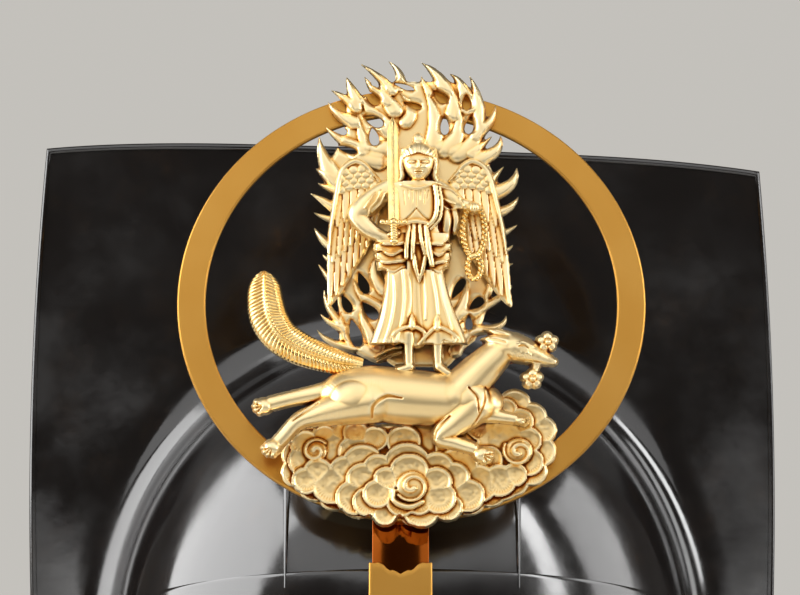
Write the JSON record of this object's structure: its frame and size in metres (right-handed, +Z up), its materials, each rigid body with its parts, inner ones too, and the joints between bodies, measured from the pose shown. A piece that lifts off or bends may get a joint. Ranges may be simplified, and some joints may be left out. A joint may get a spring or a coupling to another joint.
{
  "type": "kabuto samurai helmet with front crest",
  "caption": "Black-lacquered kabuto with a square upright hood plate, a peak, a flared neck guard and a gilt moon-ring front crest that lifts out of its holder.",
  "frame": {"origin": "centre of the bowl's rim plane, where the head goes in", "axes": "+Z up through the crown, -Y towards the face and the crest, +X to the right of someone who looks at the front"},
  "size_m": [0.293, 0.318, 0.2954],
  "materials": {
    "black_lacquer": "polished black urushi lacquer over metal",
    "satin_gold": "satin gold plate",
    "gilt_relief": "bright gilding on cast relief",
    "polished_gold": "mirror-polished gold plate",
    "silk_lacing": "flat braided silk lacing"
  },
  "bodies": {
    "helmet": {"hood_bowl": "black_lacquer", "visor": "black_lacquer", "neck_band": "black_lacquer", "neck_lame_1": "black_lacquer", "neck_lame_2": "black_lacquer", "neck_lame_3": "black_lacquer", "neck_lame_4": "black_lacquer", "crest_holder": "satin_gold"},
    "crest": {"moon_ring": "satin_gold", "crest_tang": "polished_gold", "flame_aureole": "gilt_relief", "left_wing": "gilt_relief", "right_wing": "gilt_relief", "guardian_figure": "gilt_relief", "sword": "gilt_relief", "rope_loop": "gilt_relief", "fox": "gilt_relief", "fox_tail": "gilt_relief", "cloud_base": "gilt_relief"}
  },
  "joints": [
    {"name": "crest_lift", "type": "slide", "parent": "helmet", "child": "crest", "axis": [0, 0.2857, 0.9583], "range_m": [0, 0.03]}
  ]
}
